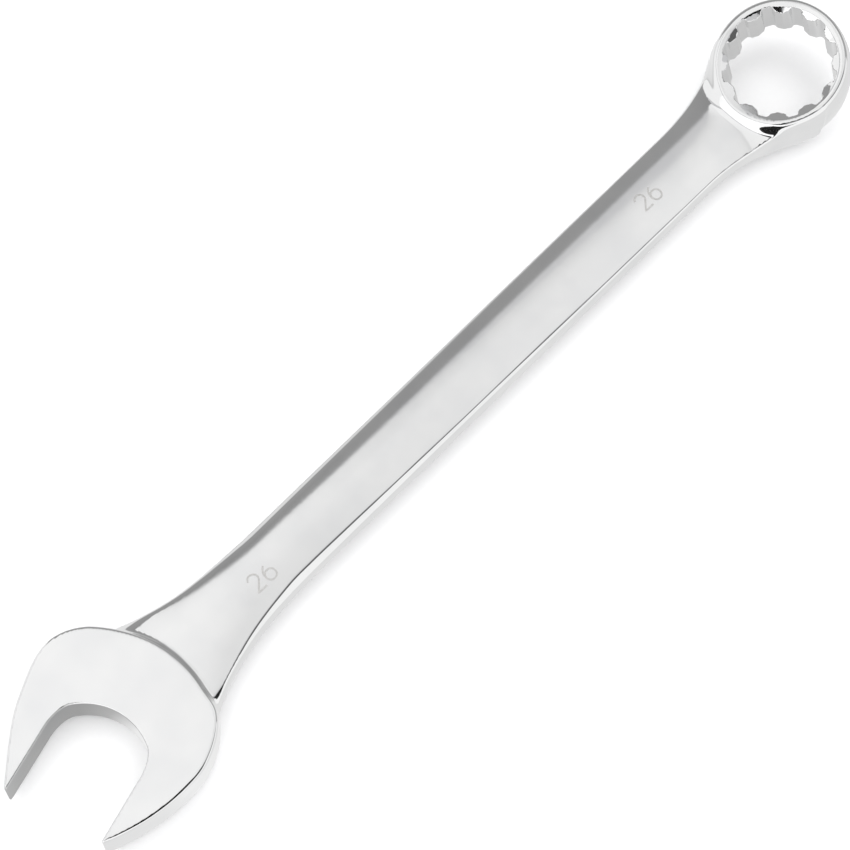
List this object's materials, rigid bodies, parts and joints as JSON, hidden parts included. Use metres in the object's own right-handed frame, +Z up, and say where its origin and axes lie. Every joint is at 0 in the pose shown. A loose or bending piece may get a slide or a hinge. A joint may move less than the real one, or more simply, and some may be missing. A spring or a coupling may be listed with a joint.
{
  "type": "combination wrench",
  "caption": "One-piece forged combination wrench, 26 mm: an open jaw turned 15 degrees at one end, a raised twelve-point ring at the other.",
  "frame": {"origin": "the middle of the underside of the part's box, on the plane that the ring's lowest rim touches", "axes": "+X along the shank from the open jaw to the ring, +Z up out of the jaw head's upper face, with the ring's far side raised, +Y to the side of the jaw whose tip reaches further"},
  "size_m": [0.2936, 0.0502, 0.0237],
  "materials": {
    "polished_chrome": "polished"
  },
  "bodies": {
    "root": {"wrench_forging": "polished_chrome"}
  },
  "joints": []
}
